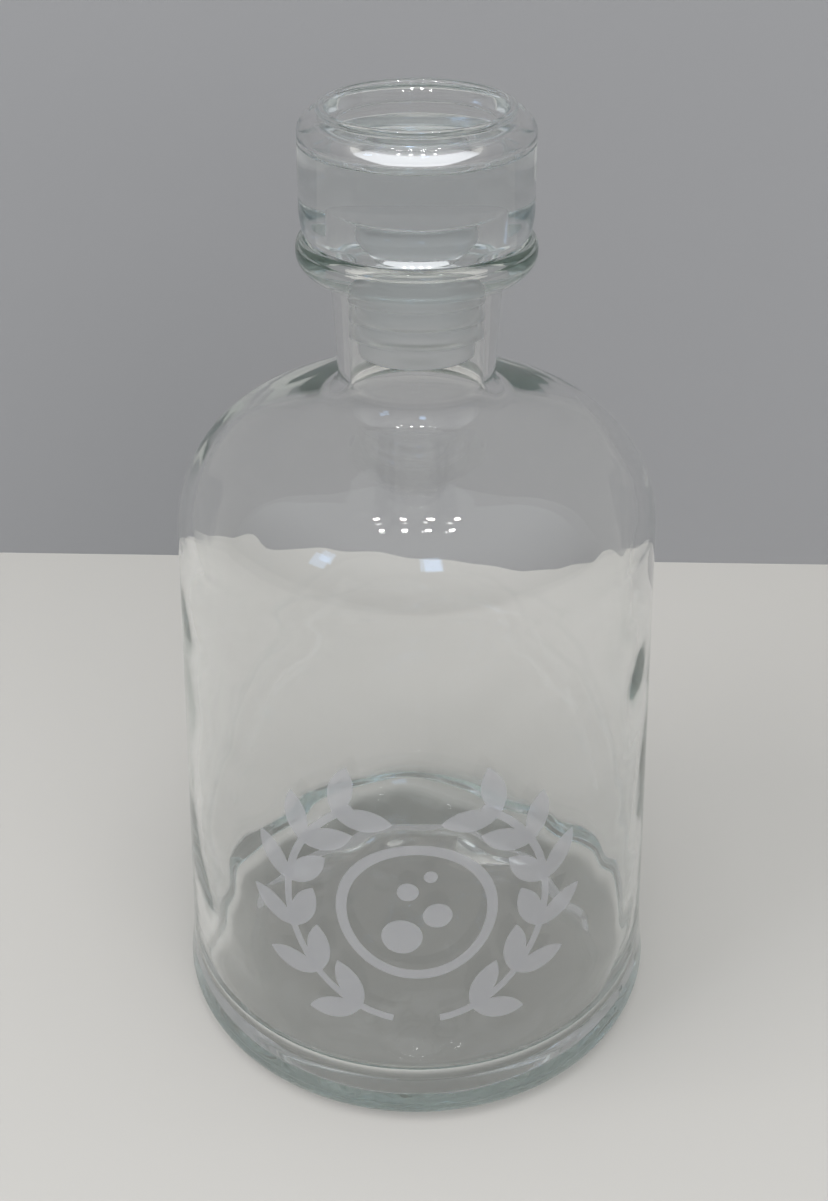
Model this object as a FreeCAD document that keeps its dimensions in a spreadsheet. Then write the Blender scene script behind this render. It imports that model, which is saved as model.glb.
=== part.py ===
import FreeCAD, Part
import math
import os
import Sketcher

# One-litre glass growler: a blown bottle, a heavy glass stopper with a dish in its top, and the
# ribbed soft plug under it that seals the neck. Millimetres, +Z up, origin under the base's centre.

# Driving sizes. Each one is written here once and read everywhere else from the sheet.
SIZES = [
    # bottle, outside
    ("body_low_radius", 51.9, "side radius over the heel"),
    ("heel_height", 17.0, "height at which the heel runs out into the side"),
    ("heel_reach", 1.08, "from the side out to the heel's widest point"),
    ("heel_round", 3.0, "radius of the heel's edge"),
    ("heel_rise", 4.1, "height of the middle of the heel's edge"),
    ("heel_inset", 7.48, "from the widest point in to the bearing ring"),
    ("bearing_width", 4.5, "width of the flat ring that the bottle stands on"),
    ("body_radius", 49.8, "side radius under the shoulder"),
    ("body_height", 116.8, "height at which the shoulder starts"),
    ("shoulder_radius", 24.9, "radius of the shoulder turn"),
    ("crown_radius", 76.14, "radius of the shoulder's crown, between turn and neck"),
    ("crown_rise", 8.3, "height of the crown, between the turn's top and the foot of the neck"),
    ("neck_fillet", 5.4, "hollow curve between shoulder and neck"),
    ("neck_wall", 2.55, "wall of the neck at its foot"),
    ("neck_flare", 1.75, "how much the neck widens outside, up to the top of the finish"),
    ("neck_length", 29.0, "from the foot of the neck to the sealing face"),
    # bottle, lip bead
    ("bead_reach", 1.95, "from the neck's top out to the middle of the lip bead"),
    ("bead_drop", 2.95, "from the sealing face down to the middle of the bead"),
    ("bead_radius", 4.15, "half thickness of the bead"),
    ("bead_under_reach", 0.9, "where the underside leaves the bead's curve"),
    ("bead_depth", 7.5, "from the sealing face down to the underside at the neck"),
    ("parting_rise", 1.7, "mould parting line, over the middle of the bead"),
    ("parting_step", 0.25, "step in at the parting line"),
    ("sealing_reach", 1.9, "from the middle of the bead out to the edge of the sealing face"),
    # bottle, inside
    ("wall", 3.3, "side wall"),
    ("bore_radius", 13.35, "bore of the neck"),
    ("mouth_round", 1.2, "rounding of the mouth's inner edge"),
    ("floor_height", 5.2, "inner floor over the bearing plane"),
    ("inner_heel_radius", 9.0, "curve between inner wall and floor"),
    ("inner_crown_radius", 146.2, "radius of the crown's inner face"),
    ("floor_ring", 2.8, "width of the floor's flat ring"),
    ("floor_rise", 7.2, "rise of the floor's middle"),
    ("floor_blend", 10.0, "radius between the floor's ring and its raised middle"),
    ("punt_depth", 8.0, "push-up under the base"),
    ("bearing_round", 0.8, "rounding of the bearing ring's inner edge"),
    # stopper
    ("flange_thickness", 0.5, "seal flange between stopper and sealing face"),
    ("seat_clearance", 0.03, "gap on each side of the seal flange"),
    ("foot_radius", 22.1, "edge of the stopper's underside"),
    ("foot_height", 5.0, "height of the foot's inward curve"),
    ("head_radius", 22.9, "outer radius of the stopper's head"),
    ("head_height", 19.85, "from the underside to the start of the head's shoulder"),
    ("head_shoulder_radius", 3.8, "radius of the head's shoulder"),
    ("head_shoulder_sweep", 72.0, "angle of the head's shoulder, degrees"),
    ("lip_rise", 5.25, "from the start of the head's shoulder up to the lip's top"),
    ("lip_radius", 19.2, "outer radius of the flared lip"),
    ("lip_half", 0.55, "half thickness of the lip"),
    ("lip_wall", 1.35, "from the lip's outer edge in to its funnel"),
    ("waist_inset", 0.8, "from the lip's outer edge in to the waist under it"),
    ("waist_height", 0.6, "height of the waist"),
    ("throat_radius", 15.2, "narrowest opening under the lip"),
    ("throat_rise", 2.0, "from the start of the head's shoulder up to the throat"),
    ("throat_round", 0.6, "radius of the throat's edge"),
    ("head_wall", 2.5, "from the head's side in to the dish, under its throat"),
    ("dish_shoulder_drop", 1.3, "from the start of the head's shoulder down to the dish's shoulder"),
    ("dish_shoulder_radius", 0.8, "radius of the dish's shoulder"),
    ("dish_depth", 2.35, "from the start of the head's shoulder down to the dish's floor"),
    ("dish_corner", 0.6, "rounding between the dish's wall and floor"),
    ("recess_depth", 5.2, "recess under the head that takes the seal's shank"),
    ("recess_round", 0.6, "rounding of the recess's inner edge"),
    # seal
    ("plug_depth", 23.95, "reach of the seal below the sealing face"),
    ("plug_inset", 0.56, "from the bore in to the seal's body, under the flange"),
    ("plug_taper", 1.35, "how much the seal's body narrows down to its end"),
    ("plug_wall", 1.5, "wall of the seal's body at its end"),
    ("shank_inset", 1.99, "from the bore in to the shank, over the flange"),
    ("shank_clearance", 0.04, "gap between shank and recess"),
    ("shank_round", 0.8, "rounding of the shank's upper edge"),
    ("shank_roof", 2.0, "thickness over the seal's hollow"),
    ("flange_inset", 0.3, "from the sealing face's outer edge in to the flange"),
    ("bore_clearance", 0.05, "gap between the fins and the bore"),
    ("fin_root", 1.5, "height of a fin at its root"),
    ("fin_tip", 0.35, "height of a fin at its tip"),
    ("fin_depth", 7.4, "from the sealing face down to the top fin"),
    ("fin_pitch", 3.8, "distance between fins"),
    ("fin_count", 4, "number of fins"),
]
VALUE = {name: value for name, value, note in SIZES}

doc = FreeCAD.newDocument("Growler")
sheet = doc.addObject("Spreadsheet::Sheet", "Sizes")
for row, (name, value, note) in enumerate(SIZES, start=1):
    sheet.set("A%d" % row, name)
    sheet.set("B%d" % row, str(value))
    sheet.set("C%d" % row, note)
    sheet.setAlias("B%d" % row, name)
doc.recompute()

# A measure is a sum of named sizes, such as ("body_radius", "-wall"). The same measure gives
# the number that a sketch is first drawn with and the formula that then drives it.
ZERO = ()
NECK_FOOT = ("body_height", "shoulder_radius", "crown_rise")
GLASS_TOP = NECK_FOOT + ("neck_length",)
STOPPER_FOOT = GLASS_TOP + ("seat_clearance", "flange_thickness", "seat_clearance")
HEAD_TOP = STOPPER_FOOT + ("head_height",)
LIP_TOP = HEAD_TOP + ("lip_rise",)
PLUG_END = GLASS_TOP + ("-plug_depth",)
WIDEST = ("body_low_radius", "heel_reach")
BEARING_OUTER = WIDEST + ("-heel_inset",)
BEARING_INNER = BEARING_OUTER + ("-bearing_width",)
FLOOR_DOME = ("body_low_radius", "-wall", "-inner_heel_radius", "-floor_ring")
NECK_RADIUS = ("bore_radius", "neck_wall")
FINISH_RADIUS = NECK_RADIUS + ("neck_flare",)
BEAD_RADIUS = FINISH_RADIUS + ("bead_reach",)
SEALING_RADIUS = BEAD_RADIUS + ("sealing_reach",)
PLUG_TOP_RADIUS = ("bore_radius", "-plug_inset")
PLUG_END_RADIUS = PLUG_TOP_RADIUS + ("-plug_taper",)
PLUG_HOLLOW_RADIUS = PLUG_END_RADIUS + ("-plug_wall",)
SHANK_RADIUS = ("bore_radius", "-shank_inset")
SHANK_TOP = STOPPER_FOOT + ("recess_depth", "-shank_clearance")


def number(measure):
    total = 0.0
    for name in measure:
        if name.startswith("-"):
            total -= VALUE[name[1:]]
        else:
            total += VALUE[name]
    return total


def formula(measure):
    text = ""
    for name in measure:
        if name.startswith("-"):
            text += " - Sizes." + name[1:]
        else:
            text += " + Sizes." + name
    return text[3:] if text.startswith(" + ") else text


def spot(corner):
    return number(corner[0]), number(corner[1])


# ---- plane geometry for the first drawing of each sketch


def outward(low, high):
    """The direction to the right of the line from low to high."""
    length = math.dist(low, high)
    return (high[1] - low[1]) / length, -(high[0] - low[0]) / length


def shifted(start, direction, distance):
    return start[0] + distance * direction[0], start[1] + distance * direction[1]


def towards(start, other, distance):
    length = math.dist(start, other)
    return shifted(start, ((other[0] - start[0]) / length, (other[1] - start[1]) / length), distance)


def direction_to(start, other):
    return math.atan2(other[1] - start[1], other[0] - start[0])


def touching_point(start, centre, radius):
    """Where the line from start touches the circle that it keeps on its left."""
    reach = math.dist(start, centre)
    lean = direction_to(start, centre) - math.asin(radius / reach)
    return shifted(start, (math.cos(lean), math.sin(lean)), math.sqrt(reach ** 2 - radius ** 2))


# ---- drawing helpers: sketches lie on the XZ plane, x is the radius and y is the height


def new_body(label):
    body = doc.addObject("PartDesign::Body", label)
    body.Label = label
    return body


def origin_feature(body, role):
    for feature in body.Origin.OriginFeatures:
        if feature.Role == role:
            return feature
    raise ValueError(role)


def new_sketch(body, name):
    sketch = body.newObject("Sketcher::SketchObject", name)
    sketch.AttachmentSupport = (origin_feature(body, "XZ_Plane"), [""])
    sketch.MapMode = "FlatFace"
    return sketch


def vector(point):
    return FreeCAD.Vector(point[0], point[1], 0)


def add_line(sketch, start, end):
    return sketch.addGeometry(Part.LineSegment(vector(start), vector(end)), False)


def add_arc(sketch, centre, start, end):
    """An arc drawn counter-clockwise about centre from start to end."""
    radius = math.dist(centre, start)
    circle = Part.Circle(vector(centre), FreeCAD.Vector(0, 0, 1), radius)
    first = math.atan2(start[1] - centre[1], start[0] - centre[0])
    last = math.atan2(end[1] - centre[1], end[0] - centre[0])
    if last < first:
        last += 2 * math.pi
    return sketch.addGeometry(Part.ArcOfCircle(circle, first, last), False)


def constrain(sketch, kind, *terms):
    return sketch.addConstraint(Sketcher.Constraint(kind, *terms))


def drive(sketch, constraint, measure):
    sketch.setExpression("Constraints[%d]" % constraint, formula(measure))


def pin_radius(sketch, edge, end, measure):
    if measure == ZERO:
        constrain(sketch, "PointOnObject", edge, end, -2)
    else:
        drive(sketch, constrain(sketch, "DistanceX", -1, 1, edge, end, number(measure)), measure)


def pin_height(sketch, edge, end, measure):
    if measure == ZERO:
        constrain(sketch, "PointOnObject", edge, end, -1)
    else:
        drive(sketch, constrain(sketch, "DistanceY", -1, 1, edge, end, number(measure)), measure)


def pin(sketch, edge, end, corner):
    pin_radius(sketch, edge, end, corner[0])
    pin_height(sketch, edge, end, corner[1])


def set_radius(sketch, edge, measure):
    drive(sketch, constrain(sketch, "Radius", edge, number(measure)), measure)


def set_sweep(sketch, edge, size):
    sweep = constrain(sketch, "Angle", edge, math.radians(VALUE[size]))
    sketch.setExpression("Constraints[%d]" % sweep, "Sizes.%s * 1 deg" % size)


def add_path(sketch, corners):
    """Straight edges from corner to corner, every corner pinned to its measures."""
    edges = []
    for start, end in zip(corners, corners[1:]):
        edges.append(add_line(sketch, spot(start), spot(end)))
    for edge, corner in zip(edges, corners):
        pin(sketch, edge, 1, corner)
    pin(sketch, edges[-1], 2, corners[-1])
    for first, second in zip(edges, edges[1:]):
        constrain(sketch, "Coincident", first, 2, second, 1)
    return edges


def close_path(sketch, edges, last, first):
    closing = add_line(sketch, spot(last), spot(first))
    constrain(sketch, "Coincident", edges[-1], 2, closing, 1)
    constrain(sketch, "Coincident", closing, 2, edges[0], 1)


def revolve(body, sketch, name, cut=False):
    kind = "PartDesign::Groove" if cut else "PartDesign::Revolution"
    feature = body.newObject(kind, name)
    feature.Profile = (sketch, [""])
    feature.ReferenceAxis = (sketch, ["V_Axis"])
    feature.Angle = 360
    before = body.Shape.Volume if body.Tip and not body.Shape.isNull() else 0.0
    doc.recompute()
    change = feature.Shape.Volume - before
    if (cut and change >= 0) or (not cut and change <= 0):
        raise ValueError("%s changed the volume by %.3f" % (name, change))
    return feature


def round_rings(body, name, rings, size):
    """Fillets the circular edges that lie at the given (radius, height) corners."""
    base = body.Tip
    found = []
    for index, edge in enumerate(base.Shape.Edges, start=1):
        if edge.Degenerated or not isinstance(edge.Curve, Part.Circle):
            continue
        for radius, height in rings:
            if abs(edge.Curve.Radius - radius) < 0.01 and abs(edge.Curve.Center.z - height) < 0.01:
                found.append("Edge%d" % index)
    if len(found) != len(rings):
        raise ValueError("%s found %d of %d rings" % (name, len(found), len(rings)))
    fillet = body.newObject("PartDesign::Fillet", name)
    fillet.Base = (base, found)
    fillet.setExpression("Radius", "Sizes." + size)
    doc.recompute()
    return fillet


# ---- shapes that more than one piece uses


def add_shoulder(sketch, side, neck, side_top, foot, radii, drawn):
    """Turn, crown and neck fillet, each tangent to the next, between a side line and a neck line.

    side and neck are the two lines, side_top and foot the ends they meet the curve at, radii
    the measures of the three curves, and drawn the side's lower end and the neck's upper end.
    """
    turn_radius, crown_radius, fillet_radius = [number(radius) for radius in radii]
    turn = shifted(side_top, outward(drawn[0], side_top), -turn_radius)
    hollow = shifted(foot, outward(foot, drawn[1]), fillet_radius)
    reach = math.dist(turn, hollow)
    inner = crown_radius - turn_radius
    outer = crown_radius + fillet_radius
    lean = math.acos((inner ** 2 + reach ** 2 - outer ** 2) / (2 * inner * reach))
    lean += direction_to(turn, hollow)
    crown = shifted(turn, (math.cos(lean), math.sin(lean)), inner)
    turn_end = towards(crown, turn, crown_radius)
    crown_end = towards(crown, hollow, crown_radius)
    turn_arc = add_arc(sketch, turn, side_top, turn_end)
    crown_arc = add_arc(sketch, crown, turn_end, crown_end)
    hollow_arc = add_arc(sketch, hollow, foot, crown_end)
    constrain(sketch, "Tangent", side, 2, turn_arc, 1)
    constrain(sketch, "Tangent", turn_arc, 2, crown_arc, 1)
    constrain(sketch, "Tangent", crown_arc, 2, hollow_arc, 2)
    constrain(sketch, "Tangent", hollow_arc, 1, neck, 1)
    for arc, radius in zip((turn_arc, crown_arc, hollow_arc), radii):
        set_radius(sketch, arc, radius)


def add_dome(sketch, edge, height, ring_edge, axis_edge, axis_end):
    """A shallow arc centred on the axis, from the inner end of a ring's line up to the axis."""
    rise = number(height) - edge[1]
    radius = (edge[0] ** 2 + rise ** 2) / (2 * rise)
    arc = add_arc(sketch, (0.0, number(height) - radius), edge, (0.0, number(height)))
    constrain(sketch, "Coincident", ring_edge, 2, arc, 1)
    constrain(sketch, "Coincident", axis_edge, axis_end, arc, 2)
    constrain(sketch, "PointOnObject", arc, 3, -2)


def add_heel(sketch, ring, side, low, side_top):
    """Slope from the bearing ring, rounded edge and hollow flare, each tangent, up to the side."""
    middle = (WIDEST + ("-heel_round",), ("heel_rise",))
    centre = spot(middle)
    radius = VALUE["heel_round"]
    out = outward(low, side_top)
    gap = (low[0] - centre[0], low[1] - centre[1])
    across = radius - gap[0] * out[0] - gap[1] * out[1]
    flare_radius = (gap[0] ** 2 + gap[1] ** 2 - radius ** 2) / (2 * across)
    flare_centre = shifted(low, out, flare_radius)
    ring_edge = (number(BEARING_OUTER), 0.0)
    slope_end = touching_point(ring_edge, centre, radius)
    edge_end = towards(centre, flare_centre, radius)
    slope = add_line(sketch, ring_edge, slope_end)
    edge = add_arc(sketch, centre, slope_end, edge_end)
    flare = add_arc(sketch, flare_centre, low, edge_end)
    pin(sketch, edge, 3, middle)
    set_radius(sketch, edge, ("heel_round",))
    constrain(sketch, "Coincident", ring, 2, slope, 1)
    constrain(sketch, "Tangent", slope, 2, edge, 1)
    constrain(sketch, "Tangent", edge, 2, flare, 2)
    constrain(sketch, "Tangent", flare, 1, side, 1)


# ---- bottle: outside, lip bead, inside and push-up


def make_bottle():
    body = new_body("bottle")

    outside = new_sketch(body, "bottle_outside")
    side_top = (("body_radius",), ("body_height",))
    foot = (NECK_RADIUS, NECK_FOOT)
    neck_top = (FINISH_RADIUS, GLASS_TOP)
    side_low = (("body_low_radius",), ("heel_height",))
    ring = add_path(outside, [(ZERO, ZERO), (BEARING_OUTER, ZERO)])[0]
    side = add_path(outside, [side_low, side_top])[0]
    add_heel(outside, ring, side, spot(side_low), spot(side_top))
    neck = add_path(outside, [foot, neck_top, (ZERO, GLASS_TOP)])
    radii = (("shoulder_radius",), ("crown_radius",), ("neck_fillet",))
    add_shoulder(outside, side, neck[0], spot(side_top), spot(foot), radii,
                 (spot(side_low), spot(neck_top)))
    axis = add_line(outside, spot((ZERO, GLASS_TOP)), (0.0, 0.0))
    constrain(outside, "Coincident", neck[-1], 2, axis, 1)
    constrain(outside, "Coincident", axis, 2, ring, 1)
    revolve(body, outside, "bottle_blank")

    # the profile starts inside the neck's wall, so that bead and neck are one glass
    bead = new_sketch(body, "bead_profile")
    middle = (BEAD_RADIUS, GLASS_TOP + ("-bead_drop",))
    centre = spot(middle)
    radius = VALUE["bead_radius"]
    rise = VALUE["parting_rise"]
    parting = shifted(centre, (math.sqrt(radius ** 2 - rise ** 2), rise), 1)
    reach = VALUE["bead_under_reach"]
    under = shifted(centre, (reach, -math.sqrt(radius ** 2 - reach ** 2)), 1)
    inside_wall = ("bore_radius", "mouth_round")
    root = (inside_wall, GLASS_TOP + ("-bead_depth",))
    sealing_edge = (SEALING_RADIUS, GLASS_TOP)
    flat = add_path(bead, [root, (inside_wall, GLASS_TOP), sealing_edge])
    belly = add_arc(bead, centre, under, parting)
    pin(bead, belly, 3, middle)
    set_radius(bead, belly, ("bead_radius",))
    pin_radius(bead, belly, 1, BEAD_RADIUS + ("bead_under_reach",))
    pin_height(bead, belly, 2, GLASS_TOP + ("-bead_drop", "parting_rise"))
    step_end = (parting[0] - VALUE["parting_step"], parting[1])
    step = add_line(bead, parting, step_end)
    constrain(bead, "Coincident", belly, 2, step, 1)
    constrain(bead, "Horizontal", step)
    drive(bead, constrain(bead, "Distance", step, VALUE["parting_step"]), ("parting_step",))
    edge = spot(sealing_edge)
    across = step_end[0] - edge[0]
    down = edge[1] - step_end[1]
    crest_radius = (across ** 2 + down ** 2) / (2 * down)
    crest = add_arc(bead, (edge[0], edge[1] - crest_radius), step_end, edge)
    constrain(bead, "Coincident", step, 2, crest, 1)
    constrain(bead, "Tangent", crest, 2, flat[-1], 2)
    underside = add_line(bead, spot(root), under)
    constrain(bead, "Coincident", flat[0], 1, underside, 1)
    constrain(bead, "Coincident", underside, 2, belly, 1)
    revolve(body, bead, "lip_bead")

    inside = new_sketch(body, "bottle_inside")
    wall_top = (("body_radius", "-wall"), ("body_height",))
    bore_foot = (("bore_radius",), NECK_FOOT)
    bore_top = (("bore_radius",), GLASS_TOP)
    inner_heel = VALUE["inner_heel_radius"]
    wall_low = (number(("body_low_radius", "-wall")), number(("floor_height", "inner_heel_radius")))
    wall_line = add_line(inside, wall_low, spot(wall_top))
    pin_radius(inside, wall_line, 1, ("body_low_radius", "-wall"))
    pin(inside, wall_line, 2, wall_top)
    dome_top = ("floor_height", "floor_rise")
    bore = add_path(inside, [bore_foot, bore_top, (ZERO, GLASS_TOP), (ZERO, dome_top)])
    inner_fillet = ("neck_fillet", "neck_wall")
    radii = (("shoulder_radius", "-wall"), ("inner_crown_radius",), inner_fillet)
    add_shoulder(inside, wall_line, bore[0], spot(wall_top), spot(bore_foot), radii,
                 (wall_low, spot(bore_top)))
    floor_edge = (number(("body_low_radius", "-wall", "-inner_heel_radius")), VALUE["floor_height"])
    heel_arc = add_arc(inside, (floor_edge[0], floor_edge[1] + inner_heel), floor_edge, wall_low)
    dome_edge = (FLOOR_DOME, ("floor_height",))
    floor = add_line(inside, floor_edge, spot(dome_edge))
    pin(inside, floor, 2, dome_edge)
    constrain(inside, "Horizontal", floor)
    set_radius(inside, heel_arc, ("inner_heel_radius",))
    constrain(inside, "Tangent", heel_arc, 2, wall_line, 1)
    constrain(inside, "Tangent", floor, 1, heel_arc, 1)
    add_dome(inside, spot(dome_edge), dome_top, floor, bore[-1], 2)
    revolve(body, inside, "bottle_hollow", cut=True)

    punt = new_sketch(body, "punt_profile")
    plane = add_path(punt, [(ZERO, ("punt_depth",)), (ZERO, ZERO), (BEARING_INNER, ZERO)])
    add_dome(punt, (number(BEARING_INNER), 0.0), ("punt_depth",), plane[-1], plane[0], 1)
    revolve(body, punt, "punt", cut=True)

    round_rings(body, "floor_blending", [spot(dome_edge)], "floor_blend")
    top = number(GLASS_TOP)
    round_rings(body, "mouth_rounding", [(VALUE["bore_radius"], top)], "mouth_round")
    round_rings(body, "bearing_rounding", [(number(BEARING_INNER), 0.0)], "bearing_round")
    return body


# ---- stopper: solid head with waist and flared lip, a dish in its top and a recess below


def add_throat(sketch, mouth, lip_corner, wall, wall_top):
    """Funnel, rounded throat, ceiling and shoulder of the dish, each tangent, down to its wall."""
    middle = (("throat_radius", "throat_round"), HEAD_TOP + ("throat_rise",))
    throat_centre = spot(middle)
    throat_radius = VALUE["throat_round"]
    turn_radius = VALUE["dish_shoulder_radius"]
    turn_centre = (wall_top[0] - turn_radius, wall_top[1])
    gap = math.dist(turn_centre, throat_centre)
    lean = direction_to(turn_centre, throat_centre) - math.acos((turn_radius + throat_radius) / gap)
    normal = (math.cos(lean), math.sin(lean))
    funnel_end = touching_point(lip_corner, throat_centre, throat_radius)
    throat_end = shifted(throat_centre, normal, -throat_radius)
    turn_end = shifted(turn_centre, normal, turn_radius)
    funnel = add_line(sketch, lip_corner, funnel_end)
    throat = add_arc(sketch, throat_centre, funnel_end, throat_end)
    ceiling = add_line(sketch, throat_end, turn_end)
    turn = add_arc(sketch, turn_centre, wall_top, turn_end)
    pin(sketch, throat, 3, middle)
    set_radius(sketch, throat, ("throat_round",))
    set_radius(sketch, turn, ("dish_shoulder_radius",))
    constrain(sketch, "Coincident", mouth, 2, funnel, 1)
    constrain(sketch, "Tangent", funnel, 2, throat, 1)
    constrain(sketch, "Tangent", throat, 2, ceiling, 1)
    constrain(sketch, "Tangent", ceiling, 2, turn, 2)
    constrain(sketch, "Tangent", turn, 1, wall, 1)


def make_stopper():
    body = new_body("stopper")

    outside = new_sketch(body, "stopper_outside")
    foot_edge = (("foot_radius",), STOPPER_FOOT)
    head_low = (("head_radius",), STOPPER_FOOT + ("foot_height",))
    head_top = (("head_radius",), HEAD_TOP)
    underside = add_path(outside, [(ZERO, STOPPER_FOOT), foot_edge])[0]
    head = add_path(outside, [head_low, head_top])[0]
    across = VALUE["head_radius"] - VALUE["foot_radius"]
    curve = (across ** 2 + VALUE["foot_height"] ** 2) / (2 * across)
    head_corner = spot(head_low)
    foot = add_arc(outside, (head_corner[0] - curve, head_corner[1]), spot(foot_edge), head_corner)
    constrain(outside, "Coincident", underside, 2, foot, 1)
    constrain(outside, "Tangent", foot, 2, head, 1)
    radius = VALUE["head_shoulder_radius"]
    sweep = math.radians(VALUE["head_shoulder_sweep"])
    top_corner = spot(head_top)
    centre = (top_corner[0] - radius, top_corner[1])
    shoulder_end = (centre[0] + radius * math.cos(sweep), centre[1] + radius * math.sin(sweep))
    shoulder = add_arc(outside, centre, top_corner, shoulder_end)
    constrain(outside, "Tangent", head, 2, shoulder, 1)
    set_radius(outside, shoulder, ("head_shoulder_radius",))
    set_sweep(outside, shoulder, "head_shoulder_sweep")
    lip_low = LIP_TOP + ("-lip_half", "-lip_half")
    waist_radius = ("lip_radius", "-waist_inset")
    waist_low = (waist_radius, lip_low + ("-waist_height",))
    lip_edge = (("lip_radius", "-lip_half"), lip_low)
    waist = add_path(outside, [waist_low, (waist_radius, lip_low), lip_edge])
    notch = add_line(outside, shoulder_end, spot(waist_low))
    constrain(outside, "Coincident", shoulder, 2, notch, 1)
    constrain(outside, "Coincident", notch, 2, waist[0], 1)
    crown = (("lip_radius", "-lip_half"), LIP_TOP)
    top = add_path(outside, [crown, (ZERO, LIP_TOP)])[0]
    lip_centre = (number(("lip_radius", "-lip_half")), number(LIP_TOP + ("-lip_half",)))
    lip = add_arc(outside, lip_centre, spot(lip_edge), spot(crown))
    constrain(outside, "Coincident", waist[-1], 2, lip, 1)
    constrain(outside, "Tangent", lip, 2, top, 1)
    axis = add_line(outside, spot((ZERO, LIP_TOP)), spot((ZERO, STOPPER_FOOT)))
    constrain(outside, "Coincident", top, 2, axis, 1)
    constrain(outside, "Coincident", axis, 2, underside, 1)
    revolve(body, outside, "stopper_blank")

    dish = new_sketch(body, "stopper_dish")
    lip_corner = (("lip_radius", "-lip_wall"), LIP_TOP)
    dish_radius = ("head_radius", "-head_wall")
    dish_floor = HEAD_TOP + ("-dish_depth",)
    wall_top = (dish_radius, HEAD_TOP + ("-dish_shoulder_drop",))
    mouth = add_path(dish, [(ZERO, LIP_TOP), lip_corner])[0]
    wall, floor = add_path(dish, [wall_top, (dish_radius, dish_floor), (ZERO, dish_floor)])
    add_throat(dish, mouth, spot(lip_corner), wall, spot(wall_top))
    axis = add_line(dish, spot((ZERO, dish_floor)), spot((ZERO, LIP_TOP)))
    constrain(dish, "Coincident", floor, 2, axis, 1)
    constrain(dish, "Coincident", axis, 2, mouth, 1)
    revolve(body, dish, "dish", cut=True)

    recess = new_sketch(body, "recess_profile")
    recess_radius = SHANK_RADIUS + ("shank_clearance",)
    recess_top = STOPPER_FOOT + ("recess_depth",)
    edges = add_path(recess, [
        (ZERO, STOPPER_FOOT),
        (recess_radius, STOPPER_FOOT),
        (recess_radius, recess_top),
        (ZERO, recess_top),
    ])
    close_path(recess, edges, (ZERO, recess_top), (ZERO, STOPPER_FOOT))
    revolve(body, recess, "recess", cut=True)

    round_rings(body, "dish_rounding", [spot((dish_radius, dish_floor))], "dish_corner")
    round_rings(body, "recess_rounding", [spot((recess_radius, recess_top))], "recess_round")
    return body


# ---- seal: a hollow tapered plug with fins, a thin flange and a shank that fills the recess


def make_seal():
    body = new_body("seal_sleeve")
    flange_low = GLASS_TOP + ("seat_clearance",)
    flange_top = flange_low + ("flange_thickness",)
    tip = ("bore_radius", "-bore_clearance")
    flange = SEALING_RADIUS + ("-flange_inset",)

    profile = new_sketch(body, "plug_outside")
    edges = add_path(profile, [
        (ZERO, PLUG_END),
        (PLUG_END_RADIUS, PLUG_END),
        (PLUG_TOP_RADIUS, flange_low),
        (flange, flange_low),
        (flange, flange_top),
        (SHANK_RADIUS, flange_top),
        (SHANK_RADIUS, SHANK_TOP),
        (ZERO, SHANK_TOP),
    ])
    close_path(profile, edges, (ZERO, SHANK_TOP), (ZERO, PLUG_END))
    revolve(body, profile, "plug_blank")

    fin = new_sketch(body, "fin_profile")
    fin_top = GLASS_TOP + ("-fin_depth",)
    fin_low = fin_top + ("-fin_root",)
    edges = add_path(fin, [
        (PLUG_HOLLOW_RADIUS, fin_low),
        (PLUG_END_RADIUS, fin_low),
        (tip, fin_top + ("-fin_tip",)),
        (tip, fin_top),
        (PLUG_HOLLOW_RADIUS, fin_top),
    ])
    close_path(fin, edges, (PLUG_HOLLOW_RADIUS, fin_top), (PLUG_HOLLOW_RADIUS, fin_low))
    ring = revolve(body, fin, "fin")

    row = body.newObject("PartDesign::LinearPattern", "fins")
    row.Originals = [ring]
    row.Direction = (origin_feature(body, "Z_Axis"), [""])
    row.Reversed = True
    row.setExpression("Length", "Sizes.fin_pitch * (Sizes.fin_count - 1)")
    row.setExpression("Occurrences", "Sizes.fin_count")
    body.Tip = row
    doc.recompute()

    hollow = new_sketch(body, "plug_hollow")
    hollow_top = SHANK_TOP + ("-shank_roof",)
    edges = add_path(hollow, [
        (ZERO, PLUG_END),
        (PLUG_HOLLOW_RADIUS, PLUG_END),
        (PLUG_HOLLOW_RADIUS, hollow_top),
        (ZERO, hollow_top),
    ])
    close_path(hollow, edges, (ZERO, hollow_top), (ZERO, PLUG_END))
    revolve(body, hollow, "plug_bore", cut=True)

    round_rings(body, "shank_rounding", [spot((SHANK_RADIUS, SHANK_TOP))], "shank_round")
    return body


# ---- build, check and write


def failed_objects():
    return [item.Name for item in doc.Objects if "Invalid" in item.State or "Error" in item.State]


bodies = [make_bottle(), make_stopper(), make_seal()]
doc.recompute()
bad = failed_objects()
for body in bodies:
    if body.Shape.isNull() or not body.Shape.isValid() or len(body.Shape.Solids) != 1:
        bad.append(body.Label)
if bad:
    raise RuntimeError("not built: " + ", ".join(bad))

os.makedirs("parts", exist_ok=True)
for body in bodies:
    body.Placement = FreeCAD.Placement()
    body.Shape.exportStep("parts/%s.step" % body.Label)
    box = body.Shape.optimalBoundingBox()
    print("%s: %.1f cm3, %.1f to %.1f mm high" % (body.Label, body.Shape.Volume / 1000, box.ZMin, box.ZMax))
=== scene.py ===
import math

import bmesh
import bpy
from mathutils import Matrix, Vector, noise


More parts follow.
